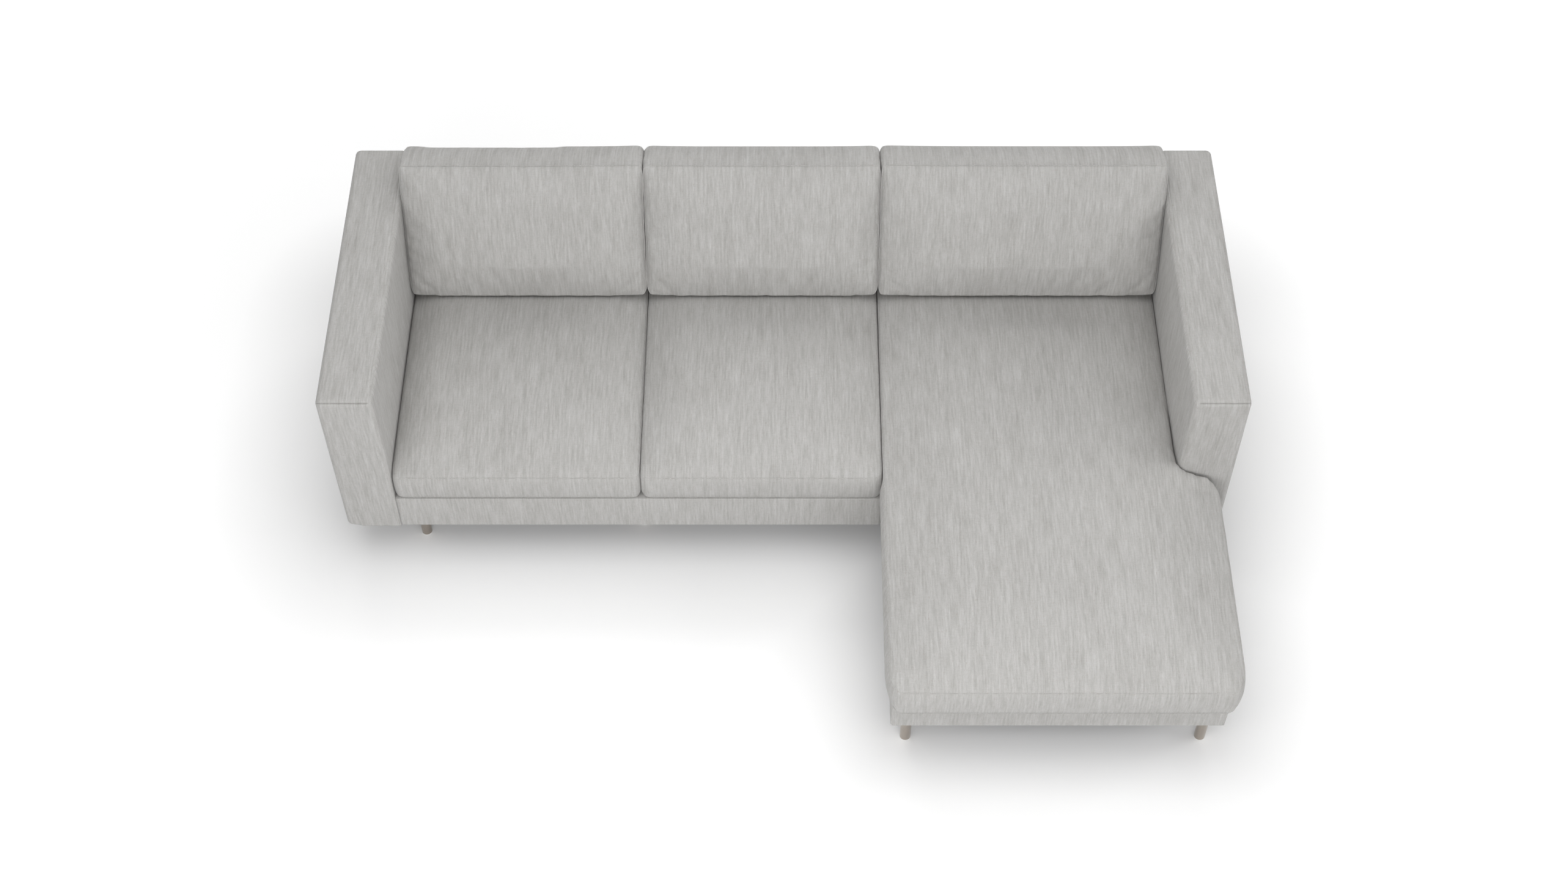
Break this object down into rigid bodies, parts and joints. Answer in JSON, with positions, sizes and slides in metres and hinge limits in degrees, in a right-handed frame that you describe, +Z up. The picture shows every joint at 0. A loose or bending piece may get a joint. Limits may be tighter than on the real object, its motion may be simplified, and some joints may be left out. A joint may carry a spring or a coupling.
{
  "type": "sectional sofa with chaise",
  "caption": "Low box-arm sectional sofa in woven fabric, with loose seat and back cushions, a chaise on the right and round metal legs.",
  "frame": {"origin": "on the floor, at the middle of the footprint's bounding box", "axes": "+X along the sofa's width, towards the chaise side (a front viewer's right); +Y towards the rear of the back; +Z up from the floor"},
  "size_m": [2.4, 1.58, 0.7685],
  "materials": {
    "upholstery_fabric": "matte",
    "cushion_core": "matte",
    "deck_felt": "matte",
    "dust_cloth": "matte",
    "webbing": "matte",
    "timber": "matte",
    "brushed_leg_steel": "satin",
    "spring_steel": "satin",
    "zinc_fixings": "satin",
    "glide_plastic": "matte"
  },
  "bodies": {
    "sofa_section": {"left_arm_bolts": "zinc_fixings", "left_arm_cover": "upholstery_fabric", "left_arm_frame": "timber", "sofa_back_cover": "upholstery_fabric", "sofa_back_frame": "timber", "sofa_back_webbing": "webbing", "sofa_base_cover": "upholstery_fabric", "sofa_connector_keepers": "zinc_fixings", "sofa_cross_rails": "timber", "sofa_deck_pad": "deck_felt", "sofa_dust_cover": "dust_cloth", "sofa_front_rail": "timber", "sofa_leg_blocks": "timber", "sofa_leg_front_centre": "brushed_leg_steel", "sofa_leg_front_left": "brushed_leg_steel", "sofa_leg_front_right": "brushed_leg_steel", "sofa_leg_glides": "glide_plastic", "sofa_leg_rear_left": "brushed_leg_steel", "sofa_leg_rear_right": "brushed_leg_steel", "sofa_leg_screws": "zinc_fixings", "sofa_rear_rail": "timber", "sofa_seat_springs": "spring_steel", "sofa_side_rails": "timber", "sofa_spring_clips": "spring_steel"},
    "chaise_section": {"chaise_back_cover": "upholstery_fabric", "chaise_back_frame": "timber", "chaise_back_webbing": "webbing", "chaise_base_cover": "upholstery_fabric", "chaise_connector_hooks": "zinc_fixings", "chaise_cross_rails": "timber", "chaise_deck_pad": "deck_felt", "chaise_dust_cover": "dust_cloth", "chaise_front_rail": "timber", "chaise_leg_blocks": "timber", "chaise_leg_front_left": "brushed_leg_steel", "chaise_leg_front_right": "brushed_leg_steel", "chaise_leg_glides": "glide_plastic", "chaise_leg_rear_left": "brushed_leg_steel", "chaise_leg_rear_right": "brushed_leg_steel", "chaise_leg_screws": "zinc_fixings", "chaise_rear_rail": "timber", "chaise_seat_springs": "spring_steel", "chaise_side_rails": "timber", "chaise_spring_clips": "spring_steel", "chaise_wing_rails": "timber", "right_arm_bolts": "zinc_fixings", "right_arm_cover": "upholstery_fabric", "right_arm_frame": "timber"},
    "seat_cushion_left": {"seat_cushion_core_left": "cushion_core", "seat_cushion_cover_left": "upholstery_fabric"},
    "back_cushion_left": {"back_cushion_core_left": "cushion_core", "back_cushion_cover_left": "upholstery_fabric"},
    "seat_cushion_middle": {"seat_cushion_core_middle": "cushion_core", "seat_cushion_cover_middle": "upholstery_fabric"},
    "back_cushion_middle": {"back_cushion_core_middle": "cushion_core", "back_cushion_cover_middle": "upholstery_fabric"},
    "seat_cushion_chaise": {"seat_cushion_core_chaise": "cushion_core", "seat_cushion_cover_chaise": "upholstery_fabric"},
    "back_cushion_chaise": {"back_cushion_core_chaise": "cushion_core", "back_cushion_cover_chaise": "upholstery_fabric"}
  },
  "joints": [
    {"name": "chaise_section_lift", "type": "slide", "parent": "sofa_section", "child": "chaise_section", "axis": [0, 0, 1], "range_m": [0, 0.06]},
    {"name": "seat_cushion_left_lift", "type": "slide", "parent": "sofa_section", "child": "seat_cushion_left", "axis": [0, 0, 1], "range_m": [0, 0.45]},
    {"name": "back_cushion_left_lift", "type": "slide", "parent": "seat_cushion_left", "child": "back_cushion_left", "axis": [0, 0, 1], "range_m": [0, 0.35]},
    {"name": "seat_cushion_middle_lift", "type": "slide", "parent": "sofa_section", "child": "seat_cushion_middle", "axis": [0, 0, 1], "range_m": [0, 0.45]},
    {"name": "back_cushion_middle_lift", "type": "slide", "parent": "seat_cushion_middle", "child": "back_cushion_middle", "axis": [0, 0, 1], "range_m": [0, 0.35]},
    {"name": "seat_cushion_chaise_lift", "type": "slide", "parent": "chaise_section", "child": "seat_cushion_chaise", "axis": [0, 0, 1], "range_m": [0, 0.45]},
    {"name": "back_cushion_chaise_lift", "type": "slide", "parent": "seat_cushion_chaise", "child": "back_cushion_chaise", "axis": [0, 0, 1], "range_m": [0, 0.35]}
  ]
}
